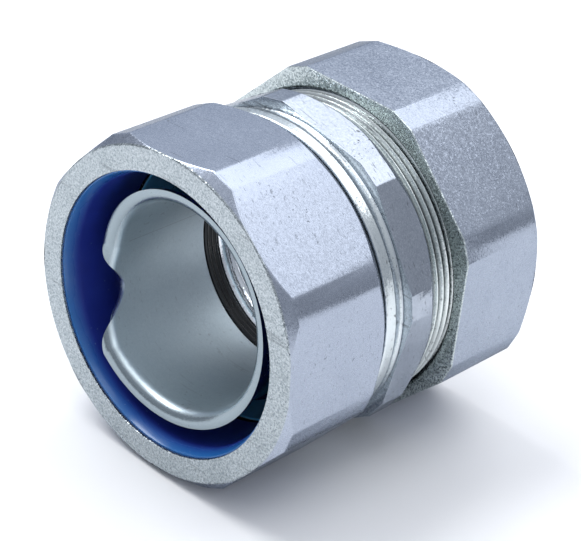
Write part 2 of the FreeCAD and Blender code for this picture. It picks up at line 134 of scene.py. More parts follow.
def softenEdges(piece, width, angle=28, segments=2, clamp=False):
    runModifier(piece, "BEVEL", width=width * mm, segments=segments, limit_method="ANGLE",
                angle_limit=math.radians(angle), use_clamp_overlap=clamp, miter_outer="MITER_ARC")


def drawOutline(name, corners):
    # a closed outline of (radius, station) corners in mm, drawn by extruding one vertex along it
    radius, station = corners[0]
    deselectAll()
    bpy.ops.mesh.primitive_plane_add(size=mm, location=(radius * mm, mouthY + station * mm, 0))
    piece = bpy.context.object
    piece.name = name
    editAll(piece)
    bpy.ops.mesh.merge(type="CENTER")
    for nextRadius, nextStation in corners[1:] + [corners[0]]:
        step = ((nextRadius - radius) * mm, (nextStation - station) * mm, 0)
        bpy.ops.mesh.extrude_vertices_move(TRANSFORM_OT_translate={"value": step})
        radius, station = nextRadius, nextStation
    leaveEdit()
    return settle(piece)


def turnPiece(name, corners):
    # an outline spun once round the fitting's axis
    piece = drawOutline(name, corners)
    editAll(piece)
    bpy.ops.mesh.spin(steps=roundSteps, angle=math.tau, center=(0, 0, 0), axis=(0, 1, 0))
    leaveEdit()
    cleanUp(piece)
    return piece


def roundCorner(centre, radius, fromAngle, toAngle, count=5):
    # points of a round stretch of an outline; 0 degrees is outward, 90 is along the axis
    points = []
    for step in range(count + 1):
        angle = math.radians(fromAngle + (toAngle - fromAngle) * step / count)
        points.append((centre[0] + radius * math.cos(angle), centre[1] + radius * math.sin(angle)))
    return points


def wrenchPrism(name, flat, corner, turn, fromStation, toStation):
    # eight wide flats with narrow corner flats, as a prism along the axis
    deselectAll()
    corners = flat / math.cos(math.radians(halfFlat))
    length = toStation - fromStation
    middle = (fromStation + toStation) / 2
    bpy.ops.mesh.primitive_cylinder_add(vertices=flatCount, radius=corners * mm, depth=length * mm,
                                        location=(0, mouthY + middle * mm, 0),
                                        rotation=(axisTurn, 0, 0))
    piece = bpy.context.object
    piece.name = name
    settle(piece)
    bpy.ops.object.mode_set(mode="EDIT")
    bpy.ops.mesh.select_mode(type="EDGE")
    bpy.ops.mesh.select_all(action="DESELECT")
    leaveEdit()
    for edge in piece.data.edges:
        ends = [piece.data.vertices[index].co for index in edge.vertices]
        edge.select = abs(ends[0].y - ends[1].y) > length * mm / 2
    bpy.ops.object.mode_set(mode="EDIT")
    cut = (corners - flat - corner) / math.sin(math.radians(halfFlat))
    bpy.ops.mesh.bevel(offset=cut * mm, offset_type="OFFSET", segments=1, affect="EDGES")
    bpy.ops.mesh.select_mode(type="VERT")
    leaveEdit()
    # a cylinder's first corner lies on an axis: half a flat more puts a flat face down
    piece.rotation_euler = (0, -math.radians(turn + halfFlat), 0)
    return settle(piece)


brokenEdge = {"drop": 0.08, "spread": 0.05}      # how a thread's crest loses its sharp edges, in mm


def threadRidge(name, foot, crest, footWidth, crestWidth, start, length, pitch=threadPitch):
    # a right-hand helical ridge; the widths are along the axis
    turns = length / pitch
    inward = math.copysign(brokenEdge["drop"], foot - crest)
    spread = brokenEdge["spread"]
    corners = [(foot, start - footWidth / 2), (crest + inward, start - crestWidth / 2 - spread),
               (crest, start - crestWidth / 4), (crest, start + crestWidth / 4),
               (crest + inward, start + crestWidth / 2 + spread), (foot, start + footWidth / 2)]
    piece = drawOutline(name, corners)
    editAll(piece)
    bpy.ops.mesh.remove_doubles(threshold=0.001 * mm)
    bpy.ops.mesh.edge_face_add()
    leaveEdit()
    steps = int(ridgeSteps * turns)
    runModifier(piece, "SCREW", axis="Y", angle=math.tau * turns, screw_offset=length * mm,
                steps=steps, render_steps=steps, use_merge_vertices=False)
    # both ends are left open by the sweep
    editAll(piece)
    bpy.ops.mesh.fill_holes(sides=0)
    leaveEdit()
    cleanUp(piece, 0.001)
    return piece


def standFor(piece, body, node):
    piece.name = node + "Shown"
    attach(piece, body)
    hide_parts(node)
    print("made", piece.name, len(piece.data.polygons), "faces")
    return piece


# hose nut: wide flats, narrow corner flats, a bevel at each end, mouth, seal seat and thread

hoseNut = {
    "flat": 30.06, "corner": 1.48, "turn": 4.63, "bevel": 1.7, "bevelSink": 0.1,
    "backRun": 1.16, "backDepth": 0.45, "mouth": 25.6, "mouthLength": 1.2, "cavity": 27.0,
    "cavityStart": 4.95, "seatEnd": 10.25, "root": 27.6, "tip": 26.85, "chamfer": 0.6,
    "threadStart": 13.35, "threadLength": 9.15, "edge": 0.2,
}
nutThread = {"sunk": 0.1, "footWidth": 1.18, "crestWidth": 0.33}


def cutNutThread(nut, n, name):
    # the thread inside either nut; its foot is sunk into the wall
    combine(nut, threadRidge(name, n["root"] + nutThread["sunk"], n["tip"], nutThread["footWidth"],
                             nutThread["crestWidth"], n["threadStart"], n["threadLength"]), "UNION")


def makeHoseNut():
    n = hoseNut
    end = stations("hose_nut")[1]
    outer = n["flat"] + n["corner"] + 1
    backBevel = (n["corner"] + 1 + n["backDepth"]) * n["backRun"]
    nut = wrenchPrism("hoseNutShell", n["flat"], n["corner"], n["turn"], -1, end + 1)
    combine(nut, turnPiece("hoseNutBlank", [
        (n["mouth"], 0),
        (n["flat"] - n["bevelSink"], 0),
        (outer, n["bevel"] + 1),
        (outer, end - backBevel),
        (n["flat"] - n["backDepth"], end),
        (n["root"] + n["chamfer"], end),
        (n["root"], end - n["chamfer"]),
        (n["root"], n["seatEnd"] + 0.2),
        (n["cavity"], n["seatEnd"]),
        (n["cavity"], n["cavityStart"]),
        (n["mouth"], n["mouthLength"]),
    ]), "INTERSECT")
    cleanUp(nut)
    softenEdges(nut, n["edge"])
    cutNutThread(nut, n, "hoseNutThread")
    smooth(nut)
    return standFor(nut, "hose_nut", "hose_nut")


# conduit nut: as the hose nut, with an end wall and room for the gland and grip rings

conduitNut = {
    "flat": 31.07, "corner": 1.6, "turn": 0.0, "bevel": 1.6, "bevelSink": 0.1, "root": 28.6,
    "tip": 27.85, "chamfer": 0.6, "reliefEnd": 51.9, "cavity": 27.4, "wallStart": 59.4,
    "opening": 24.45, "threadStart": 43.5, "threadLength": 4.4, "edge": 0.2,
}


def makeConduitNut():
    n = conduitNut
    start, end = stations("conduit_nut")
    outer = n["flat"] + n["corner"] + 1
    nut = wrenchPrism("conduitNutShell", n["flat"], n["corner"], n["turn"], start - 1, end + 1)
    combine(nut, turnPiece("conduitNutBlank", [
        (n["root"] + n["chamfer"], start),
        (outer, start),
        (outer, end - n["bevel"] - 1),
        (n["flat"] - n["bevelSink"], end),
        (n["opening"], end),
        (n["opening"], n["wallStart"]),
        (n["cavity"], n["wallStart"]),
        (n["cavity"], n["reliefEnd"]),
        (n["root"], n["reliefEnd"] - 0.2),
        (n["root"], start + n["chamfer"]),
    ]), "INTERSECT")
    cleanUp(nut)
    softenEdges(nut, n["edge"])
    cutNutThread(nut, n, "conduitNutThread")
    smooth(nut)
    return standFor(nut, "conduit_nut", "conduit_nut")


# coupling body: one casting with collar, wrench flange, inner stop and both outside threads

couplingBody = {
    "hoseRoot": 26.65, "hoseCrest": 27.5, "conduitRoot": 27.65, "conduitCrest": 28.5,
    "skirtBore": 25.65, "skirtEnd": 16.1, "socket": 24.3, "taper": 2.4, "taperLength": 3.9,
    "collarStart": 24.35, "collarEnd": 26.95, "collar": 29.3, "grooveDeep": 28.5,
    "flangeStart": 28.9, "flangeEnd": 36.1, "flangeFlat": 29.45, "flangeCorner": 1.4,
    "flangeTurn": -11.2, "flangeRun": 1.45, "stopStart": 31.2, "stopEnd": 35.4,
    "stopOpening": 17.6, "stopRound": 1.9, "edge": 0.16,
    "skirtBreak": 0.15, "hoseLead": 0.35, "conduitLead": 0.4, "hoseReliefDepth": 0.15,
    "hoseReliefRun": 1.3, "reliefSlope": 0.2, "grooveRound": 1.6,
}
bodyThread = {"footWidth": 1.26, "crestWidth": 0.19}
hoseThread = {"sunk": 0.08, "in": 1, "length": 9.75}
conduitThread = {"sunk": 0.12, "in": 0.72, "out": 0.95}


def makeBodyCore():
    b = couplingBody
    start, end = stations("coupling_body")
    grooveMiddle = (b["collarEnd"] + b["flangeStart"]) / 2
    hoseRelief = b["hoseRoot"] - b["hoseReliefDepth"]
    reliefStart = b["collarStart"] - b["hoseReliefRun"]
    corners = [
        (b["skirtBore"], start + b["skirtBreak"]), (b["skirtBore"] + b["skirtBreak"], start),
        (b["hoseRoot"] - b["hoseLead"], start), (b["hoseRoot"], start + b["hoseLead"]),
        (b["hoseRoot"], reliefStart), (hoseRelief, reliefStart + b["reliefSlope"]),
        (hoseRelief, b["collarStart"]),
    ]
    corners += roundCorner((b["collar"] - 0.5, b["collarStart"] + 0.5), 0.5, -90, 0)
    corners += roundCorner((b["collar"] - 0.6, b["collarEnd"] - 0.55), 0.6, 0, 70)
    corners += roundCorner((b["grooveDeep"] + b["grooveRound"], grooveMiddle), b["grooveRound"],
                           215, 142)
    corners += [
        (b["conduitRoot"] - 0.3, b["flangeStart"] + 0.5), (b["conduitRoot"] - 0.3, b["flangeEnd"] - 1),
        (b["conduitRoot"], b["flangeEnd"] - 0.8), (b["conduitRoot"], end - b["conduitLead"]),
        (b["conduitRoot"] - b["conduitLead"], end), (b["socket"] + b["taper"], end),
        (b["socket"], end - b["taperLength"]), (b["socket"], b["stopEnd"]),
    ]
    r = b["stopRound"]
    corners += roundCorner((b["stopOpening"] + r, b["stopEnd"] - r), r, 90, 180, 9)
    corners += roundCorner((b["stopOpening"] + r, b["stopStart"] + r), r, 180, 270, 9)
    corners += [
        (b["socket"], b["stopStart"]), (b["socket"], b["skirtEnd"]), (b["skirtBore"], b["skirtEnd"]),
    ]
    return turnPiece("bodyCore", corners)


def makeFlange():
    b = couplingBody
    outer = b["flangeFlat"] + b["flangeCorner"] + 1
    flange = wrenchPrism("bodyFlange", b["flangeFlat"], b["flangeCorner"], b["flangeTurn"],
                         b["flangeStart"] - 1, b["flangeEnd"] + 1)
    combine(flange, turnPiece("flangeDisc", [
        (b["conduitRoot"] - 1, b["flangeStart"]), (outer, b["flangeStart"]),
        (outer, b["flangeEnd"] - (b["flangeCorner"] + 1) * b["flangeRun"]),
        (b["flangeFlat"], b["flangeEnd"]), (b["conduitRoot"] - 1, b["flangeEnd"]),
    ]), "INTERSECT")
    cleanUp(flange)
    softenEdges(flange, b["edge"])
    return flange


def makeCouplingBody():
    b = couplingBody
    start, end = stations("coupling_body")
    body = makeBodyCore()
    combine(body, makeFlange(), "UNION")
    combine(body, threadRidge("hoseThread", b["hoseRoot"] - hoseThread["sunk"], b["hoseCrest"],
                              start=start + hoseThread["in"], length=hoseThread["length"],
                              **bodyThread), "UNION")
    # the second thread's first turn grows out of the flange
    threadStart = b["flangeEnd"] + conduitThread["in"] - threadPitch
    combine(body, threadRidge("conduitThread", b["conduitRoot"] - conduitThread["sunk"],
                              b["conduitCrest"], start=threadStart,
                              length=end - conduitThread["out"] - threadStart, **bodyThread), "UNION")
    cleanUp(body, 0.002)
    smooth(body)
    return standFor(body, "coupling", "coupling_body")


# blue seal ring: a tapered head behind the mouth and a thin skirt inside the body

sealRing = {
    "lip": 25.25, "front": 25.66, "head": 26.85, "skirt": 25.5, "bore": 24.45, "coneEnd": 4.95,
    "taper": 3.0, "shoulder": 10.45,
}


def makeSealRing():
    s = sealRing
    start, end = stations("hose_seal_ring")
    corners = [(s["lip"], start + 0.12), (s["lip"] + 0.08, start), (s["front"] - 0.08, start),
               (s["front"], start + 0.1), (s["front"], 1.2)]
    corners += [(s["head"], s["coneEnd"]), (s["head"], s["shoulder"] - 0.5)]
    corners += roundCorner((s["head"] - 0.5, s["shoulder"] - 0.5), 0.5, 0, 90, 3)
    corners += [(s["skirt"], s["shoulder"]), (s["skirt"], end - 0.3), (s["skirt"] - 0.3, end),
                (s["bore"] + 0.15, end), (s["bore"], end - 0.15)]
    # the bore's front end opens in a soft curve
    for step in range(6, 0, -1):
        share = step / 6
        corners.append((s["bore"] + (s["lip"] - s["bore"]) * (1 - share) ** 1.6,
                        start + 0.12 + s["taper"] * share))
    ring = turnPiece("sealRing", corners)
    smooth(ring, 40)
    return standFor(ring, "hose_seal", "hose_seal_ring")


# ferrule: a strip of sheet rolled into a tube, with a flared rim that rises like a screw

ferrule = {
    "bore": 18.3, "wall": 1.1, "rimRise": 2.7, "flareSweep": 98.0, "rimStart": 1.15,
    "risePerTurn": 5.2, "lowAngle": 227.0, "highAngle": 533.0, "notchAngle": 558.0,
    "notchDrop": 2.2, "tubeEnd": 27.7, "flangeStart": 26.9, "flange": 24.0, "edge": 0.3,
    "threadFoot": 19.25, "threadCrest": 20.4, "threadStart": 14.6, "threadLength": 10.1,
    "footWidth": 2.4, "crestWidth": 0.9, "flangeEnd": 28.0, "flangeBreak": 0.15, "lap": 0.02,
    "gather": 2.2,
}


def notchShare(angle):
    # how deep the scallop is cut at an angle, from 0 on the whole rim to 1 at its middle
    f = ferrule
    if angle <= f["highAngle"]:
        return 0.0
    lowAgain = f["lowAngle"] + 360
    if angle <= f["notchAngle"]:
        share = (angle - f["highAngle"]) / (f["notchAngle"] - f["highAngle"])
    else:
        share = (lowAgain - angle) / (lowAgain - f["notchAngle"])
    return 0.5 - 0.5 * math.cos(math.pi * share)


def ferrulePoint(angle, share):
    # a point of the inner wall; share 0 is the tube's inner end and 1 the rim
    f = ferrule
    sweep = math.radians(f["flareSweep"])
    flare = f["rimRise"] / (1 - math.cos(sweep))
    lowAgain = f["lowAngle"] + 360
    top = f["rimStart"] + f["risePerTurn"] * (min(angle, f["highAngle"]) - f["lowAngle"]) / 360
    if angle > f["highAngle"]:
        fade = (angle - f["highAngle"]) / (lowAgain - f["highAngle"])
        top = top * (1 - fade) + f["rimStart"] * fade
    straight = f["tubeEnd"] - top - flare * min(1, math.sin(min(sweep, math.pi / 2)))
    cut = notchShare(angle) * (f["notchDrop"] + flare * sweep)
    # the grid's rings gather towards the flare
    run = (1 - (1 - share) ** f["gather"]) * (straight + flare * sweep - cut)
    if run <= straight:
        return f["bore"], f["tubeEnd"] - run
    turn = (run - straight) / flare
    return f["bore"] + flare * (1 - math.cos(turn)), f["tubeEnd"] - straight - flare * math.sin(turn)


def makeFerrule():
    f = ferrule
    deselectAll()
    bpy.ops.mesh.primitive_grid_add(x_subdivisions=360, y_subdivisions=44, size=1)
    tube = bpy.context.object
    # the strip is rolled up round the axis
    for vertex in tube.data.vertices:
        angle = f["lowAngle"] + 360 * (vertex.co.x + 0.5)
        radius, station = ferrulePoint(angle, vertex.co.y + 0.5)
        turn = math.radians(angle)
        vertex.co = (radius * mm * math.cos(turn), mouthY + station * mm, radius * mm * math.sin(turn))
    cleanUp(tube, 0.001)
    first = tube.data.polygons[0]
    outward = first.normal.x * first.center.x + first.normal.z * first.center.z
    runModifier(tube, "SOLIDIFY", thickness=f["wall"] * mm, offset=1 if outward > 0 else -1,
                use_even_offset=True)
    cleanUp(tube, 0.001)
    softenEdges(tube, f["edge"], angle=60, segments=3, clamp=True)
    inner, broken = f["bore"] + f["lap"], f["flangeBreak"]
    combine(tube, turnPiece("ferruleFlange", [
        (inner, f["flangeStart"]), (f["flange"] - broken, f["flangeStart"]),
        (f["flange"], f["flangeStart"] + broken), (f["flange"], f["flangeEnd"] - broken),
        (f["flange"] - broken, f["flangeEnd"]), (f["bore"] + f["edge"], f["flangeEnd"]),
        (inner, f["tubeEnd"]),
    ]), "UNION")
    combine(tube, threadRidge("ferruleThread", f["threadFoot"], f["threadCrest"], f["footWidth"],
                              f["crestWidth"], f["threadStart"], f["threadLength"],
                              f["risePerTurn"]), "UNION")
    cleanUp(tube, 0.001)
    smooth(tube, 38)
    return standFor(tube, "ferrule", "ferrule")


# ferrule gasket: three soft ridges round its bore

gasket = {"bore": 18.0, "outside": 24.15, "groove": 0.38, "ridges": 3}


def makeGasket():
    g = gasket
    start, end = stations("ferrule_gasket")
    width = (end - start) / g["ridges"]
    corners = [(g["outside"] - 0.2, start), (g["outside"], start + 0.2), (g["outside"], end - 0.2),
               (g["outside"] - 0.2, end)]
    for ridge in range(g["ridges"], 0, -1):
        middle = start + width * (ridge - 0.5)
        corners.append((g["bore"] + g["groove"], middle + width * 0.5))
        corners += roundCorner((g["bore"] + width * 0.4, middle), width * 0.4, 120, 240, 6)
    corners.append((g["bore"] + g["groove"], start))
    ring = turnPiece("gasketRing", corners)
    smooth(ring, 45)
    return standFor(ring, "coupling", "ferrule_gasket")


shown = {
    "hoseNut": makeHoseNut(),
    "conduitNut": makeConduitNut(),
    "body": makeCouplingBody(),
    "seal": makeSealRing(),
    "ferrule": makeFerrule(),
    "gasket": makeGasket(),
}

# shader steps shared by the finishes

def addNode(tree, kind, inputs=None, **settings):
    # a node with its settings, its own values and its incoming links
    node = tree.nodes.new(kind)
    for name, value in settings.items():
        setattr(node, name, value)
    for socket, value in (inputs or {}).items():
        if isinstance(value, bpy.types.NodeSocket):
            tree.links.new(value, node.inputs[socket])
        else:
            node.inputs[socket].default_value = value
    return node


def newGroup(name, inputs, outputs):
    group = bpy.data.node_groups.new(name, "ShaderNodeTree")
    for title, (kind, value) in inputs.items():
        socket = group.interface.new_socket(name=title, in_out="INPUT", socket_type=kind)
        if value is not None:
            socket.default_value = value
    for title, kind in outputs.items():
        group.interface.new_socket(name=title, in_out="OUTPUT", socket_type=kind)
    return group, group.nodes.new("NodeGroupInput").outputs, group.nodes.new("NodeGroupOutput").inputs


def noise(tree, spot, scale, detail, **inputs):
    node = addNode(tree, "ShaderNodeTexNoise",
                   {"Vector": spot, "Scale": scale, "Detail": detail, **inputs})
    return node.outputs["Fac"]


def sums(tree, operation, first, second=0.0, third=0.0, clamp=False):
    node = addNode(tree, "ShaderNodeMath", {0: first, 1: second, 2: third}, operation=operation,
                   use_clamp=clamp)
    return node.outputs[0]


def stretch(tree, value, fromMin, fromMax, toMin=0.0, toMax=1.0):
    # a value mapped to a new range, held inside it
    node = addNode(tree, "ShaderNodeMapRange", {
        "Value": value, "From Min": fromMin, "From Max": fromMax, "To Min": toMin, "To Max": toMax})
    return node.outputs["Result"]


floatKind, vectorKind = "NodeSocketFloat", "NodeSocketVector"


def makeAxisPlace():
    # radius and station in mm and the angle in degrees of a spot, from its Object coordinates
    group, given, result = newGroup("axisPlace", {"Position": (vectorKind, None)},
                                    {"Radius": floatKind, "Station": floatKind, "Angle": floatKind})
    parts = addNode(group, "ShaderNodeSeparateXYZ", {0: given["Position"]}).outputs
    squares = sums(group, "ADD", sums(group, "MULTIPLY", parts["X"], parts["X"]),
                   sums(group, "MULTIPLY", parts["Z"], parts["Z"]))
    radius = sums(group, "MULTIPLY", sums(group, "SQRT", squares), 1 / mm)
    station = sums(group, "MULTIPLY", sums(group, "SUBTRACT", parts["Y"], mouthY), 1 / mm)
    angle = sums(group, "MULTIPLY", sums(group, "ARCTAN2", parts["Z"], parts["X"]), 180 / math.pi)
    for socket, value in (("Radius", radius), ("Station", station), ("Angle", angle)):
        group.links.new(value, result[socket])
    return group


def makeZincGrain():
    # plated metal: small crystals that tilt the light, cloudy patches and fine pits
    group, given, result = newGroup("zincGrain", {
        "Position": (vectorKind, None), "Crystal Scale": (floatKind, 3000.0),
        "Crystal Tilt": (floatKind, 0.25), "Cloud Scale": (floatKind, 140.0),
        "Pitting": (floatKind, 0.3),
    }, {"Tone": floatKind, "Gloss": floatKind, "Pits": floatKind, "Normal": vectorKind})
    spot = given["Position"]
    crystals = addNode(group, "ShaderNodeTexVoronoi", {"Vector": spot, "Scale": given["Crystal Scale"]},
                       voronoi_dimensions="3D", feature="F1")
    centred = addNode(group, "ShaderNodeVectorMath",
                      {0: crystals.outputs["Color"], 1: (-0.5, -0.5, -0.5)}, operation="ADD")
    tilted = addNode(group, "ShaderNodeVectorMath",
                     {0: centred.outputs[0], "Scale": given["Crystal Tilt"]}, operation="SCALE")
    surface = addNode(group, "ShaderNodeNewGeometry")
    leaning = addNode(group, "ShaderNodeVectorMath",
                      {0: surface.outputs["Normal"], 1: tilted.outputs[0]}, operation="ADD")
    normal = addNode(group, "ShaderNodeVectorMath", {0: leaning.outputs[0]}, operation="NORMALIZE")
    clouds = noise(group, spot, given["Cloud Scale"], 5.0, Roughness=0.6)
    mottle = noise(group, spot, 1500.0, 3.0, Roughness=0.7)
    crystalTone = addNode(group, "ShaderNodeSeparateXYZ", {0: crystals.outputs["Color"]}).outputs["X"]
    tone = sums(group, "ADD", sums(group, "MULTIPLY", clouds, 0.45),
                sums(group, "MULTIPLY", mottle, 0.35))
    tone = sums(group, "ADD", tone, sums(group, "MULTIPLY", crystalTone, 0.2))
    # pits come in patches
    speckMask = stretch(group, noise(group, spot, 1100.0, 2.5, Roughness=0.55), 0.64, 0.7)
    patchMask = stretch(group, noise(group, spot, 90.0, 2.0), 0.5, 0.66)
    pits = sums(group, "MULTIPLY", sums(group, "MULTIPLY", speckMask, patchMask), given["Pitting"],
                clamp=True)
    gloss = sums(group, "ADD", sums(group, "MULTIPLY", clouds, 0.5),
                 sums(group, "MULTIPLY", crystalTone, 0.5))
    for socket, value in (("Tone", tone), ("Gloss", gloss), ("Pits", pits),
                          ("Normal", normal.outputs[0])):
        group.links.new(value, result[socket])
    return group


def makeHandlingMarks():
    # hairline scratches in two directions and rubbed smudges
    group, given, result = newGroup("handlingMarks", {
        "Position": (vectorKind, None), "Scratches": (floatKind, 0.5), "Smudges": (floatKind, 0.5),
    }, {"Lines": floatKind, "Rubs": floatKind})
    lines = None
    for turn, amount in (((0.3, 0.9, 0.2), 1.0), ((1.1, -0.5, 0.7), 0.8)):
        place = addNode(group, "ShaderNodeMapping", {"Vector": given["Position"], "Rotation": turn,
                                                     "Scale": (60.0, 2600.0, 900.0)})
        streaks = noise(group, place.outputs[0], 1.0, 1.5)
        line = sums(group, "MULTIPLY", stretch(group, streaks, 0.69, 0.74), amount)
        lines = line if lines is None else sums(group, "MAXIMUM", lines, line)
    lines = sums(group, "MULTIPLY", lines, given["Scratches"], clamp=True)
    smudge = noise(group, given["Position"], 220.0, 6.0, Roughness=0.7, Distortion=0.6)
    rubs = sums(group, "MULTIPLY", stretch(group, smudge, 0.55, 0.7), given["Smudges"], clamp=True)
    group.links.new(lines, result["Lines"])
    group.links.new(rubs, result["Rubs"])
    return group


axisPlace = makeAxisPlace()
zincGrain = makeZincGrain()
handlingMarks = makeHandlingMarks()
print("shader groups built")


def newFinish(name, metallic=0.0, **sockets):
    # an empty material with its shader's plain values set
    finish = bpy.data.materials.new(name)
    finish.use_nodes = True
    tree = finish.node_tree
    shader = tree.nodes["Principled BSDF"]
    shader.inputs["Metallic"].default_value = metallic
    for title, value in sockets.items():
        shader.inputs[title].default_value = value
    spot = addNode(tree, "ShaderNodeTexCoord").outputs["Object"]
    return finish, tree, shader, spot


def setSurface(tree, shader, color, rough, depth, sunk=False, **bump):
    # the finish's colour, roughness and small relief, whose depth is in mm
    tree.links.new(color, shader.inputs["Base Color"])
    tree.links.new(rough, shader.inputs["Roughness"])
    relief = addNode(tree, "ShaderNodeBump", {"Distance": depth * mm, **bump}, invert=sunk)
    tree.links.new(relief.outputs[0], shader.inputs["Normal"])


def useGroup(tree, group, inputs):
    return addNode(tree, "ShaderNodeGroup", inputs, node_tree=group).outputs


def blendColors(tree, share, first, second):
    # sockets 6 and 7 of the mix node are its two colours
    colors = {socket: value if isinstance(value, bpy.types.NodeSocket) else (*value, 1)
              for socket, value in ((6, first), (7, second))}
    return addNode(tree, "ShaderNodeMix", {0: share, **colors}, data_type="RGBA").outputs[2]


def band(tree, value, start, end, soft):
    # 1 between start and end, fading over a soft edge
    rise = stretch(tree, value, start - soft, start + soft)
    fall = stretch(tree, value, end - soft, end + soft, 1.0, 0.0)
    return sums(tree, "MULTIPLY", rise, fall)


zincFinishes = {
    "hoseNutZinc": {"dark": (0.355, 0.395, 0.475), "light": (0.44, 0.485, 0.57),
                    "rough": (0.22, 0.32), "crystals": 4600.0, "tilt": 0.055, "faceTilt": 0.35,
                    "pits": 0.5, "scratches": 0.35, "smudges": 0.35,
                    "faceDark": (0.26, 0.30, 0.32), "faceLight": (0.52, 0.565, 0.59)},
    "conduitNutZinc": {"dark": (0.34, 0.38, 0.455), "light": (0.445, 0.49, 0.57), "rough": (0.22, 0.34),
                       "crystals": 4200.0, "tilt": 0.11, "faceTilt": 0.35, "pits": 0.5,
                       "scratches": 0.3, "smudges": 0.3,
                       "faceDark": (0.40, 0.45, 0.46), "faceLight": (0.64, 0.70, 0.70)},
    "bodyZinc": {"dark": (0.34, 0.375, 0.44), "light": (0.52, 0.565, 0.63), "rough": (0.17, 0.28),
                 "crystals": 4400.0, "tilt": 0.09, "pits": 1.0, "scratches": 0.5, "smudges": 0.5},
}
chromateTint = (0.90, 0.95, 0.92)
lacquerBlue = (0.10, 0.46, 0.78)
edgeTint = (0.45, 0.47, 0.5)
boreSheenSilver = (0.88, 0.91, 0.94)
polishedSilver = (0.80, 0.86, 0.86)
# dark colour for pits, scratches, joints and real dirt, also used as painted shade in thread valleys
grime = (0.10, 0.11, 0.12)
faceDepth = (0.2, 0.35)              # how far behind an end face its sandy look fades, in mm
socketWall = {"radius": (24.5, 24.8), "stations": (10.0, 26.0)}
toneRange, glossRange = (0.25, 0.75), (0.2, 0.8)


def useGrain(tree, spot, crystals, tilt, pits, **inputs):
    return useGroup(tree, zincGrain, {"Position": spot, "Crystal Scale": crystals,
                                      "Crystal Tilt": tilt, "Pitting": pits, **inputs})


def makeZinc(name, faceStation=None, threadBand=None, polishedBand=None, innerRadius=None):
    z = zincFinishes[name]
    finish, tree, shader, spot = newFinish(name, metallic=1.0)
    shader.inputs["Specular Tint"].default_value = (*edgeTint, 1)
    where = useGroup(tree, axisPlace, {"Position": spot})
    # the end faces are sandier than the flats
    tilt = z["tilt"]
    if faceStation is not None:
        away = sums(tree, "ABSOLUTE", sums(tree, "SUBTRACT", where["Station"], faceStation))
        onFace = stretch(tree, away, *faceDepth, 1.0, 0.0)
        tilt = stretch(tree, onFace, 0.0, 1.0, z["tilt"], z["faceTilt"])
    grain = useGrain(tree, spot, z["crystals"], tilt, z["pits"])
    marks = useGroup(tree, handlingMarks, {"Position": spot, "Scratches": z["scratches"],
                                           "Smudges": z["smudges"]})
    color = blendColors(tree, stretch(tree, grain["Tone"], *toneRange), z["dark"], z["light"])
    color = blendColors(tree, sums(tree, "MULTIPLY", marks["Rubs"], 0.6), color, z["dark"])
    rough = stretch(tree, grain["Gloss"], *glossRange, *z["rough"])
    if faceStation is not None:
        grit = noise(tree, spot, 2600.0, 3.0, Roughness=0.65)
        share = sums(tree, "ADD", sums(tree, "MULTIPLY", grit, 0.75),
                     sums(tree, "MULTIPLY", grain["Tone"], 0.25))
        sand = blendColors(tree, stretch(tree, share, 0.38, 0.6), z["faceDark"], z["faceLight"])
        color = blendColors(tree, onFace, color, sand)
    if polishedBand:
        polished = band(tree, where["Station"], polishedBand[0], polishedBand[1], 0.2)
        color = blendColors(tree, sums(tree, "MULTIPLY", polished, 0.75), color, polishedSilver)
    if threadBand:
        start, end, crest = threadBand
        inThread = band(tree, where["Station"], start, end, 0.15)
        # thread valleys are darkened: partly real dirt, partly painted shade where the crests shade the
        # roots
        valley = stretch(tree, where["Radius"], crest - 0.75, crest - 0.15, 1.0, 0.0)
        color = blendColors(tree, sums(tree, "MULTIPLY", inThread, 0.8), color, chromateTint)
        inValley = sums(tree, "MULTIPLY", inThread, valley)
        color = blendColors(tree, sums(tree, "MULTIPLY", inValley, 0.85), color, grime)
    if innerRadius:
        # inside the bore the colour is painted lighter, a painted sheen standing in for the reflection
        # of the bright open end; the roughness is also lower
        inside = stretch(tree, where["Radius"], innerRadius - 0.6, innerRadius, 1.0, 0.0)
        rough = sums(tree, "MULTIPLY", rough, stretch(tree, inside, 0.0, 1.0, 1.0, 0.5))
        color = blendColors(tree, sums(tree, "MULTIPLY", inside, 0.8), color, boreSheenSilver)
        # blue lacquer on the hose socket's wall
        lacquer = sums(tree, "MULTIPLY",
                       stretch(tree, where["Radius"], *socketWall["radius"], 1.0, 0.0),
                       band(tree, where["Station"], *socketWall["stations"], 0.3))
        color = blendColors(tree, lacquer, color, lacquerBlue)
        tree.links.new(sums(tree, "SUBTRACT", 1.0, lacquer), shader.inputs["Metallic"])
    color = blendColors(tree, sums(tree, "MAXIMUM", grain["Pits"], marks["Lines"]), color, grime)
    rough = sums(tree, "ADD", rough, sums(tree, "MULTIPLY", grain["Pits"], 0.25))
    setSurface(tree, shader, color, rough, depth=0.05, sunk=True, Strength=0.4,
               Height=sums(tree, "ADD", grain["Pits"], marks["Lines"]), Normal=grain["Normal"])
    return finish


bluePlastic = {
    "dark": (0.011, 0.018, 0.20), "light": (0.018, 0.040, 0.30), "front": (0.02, 0.13, 0.38),
    "dust": (0.25, 0.4, 0.55), "frontRun": (0.7, 3.2), "rough": (0.28, 0.38), "seam": (112.6, 113.0),
}


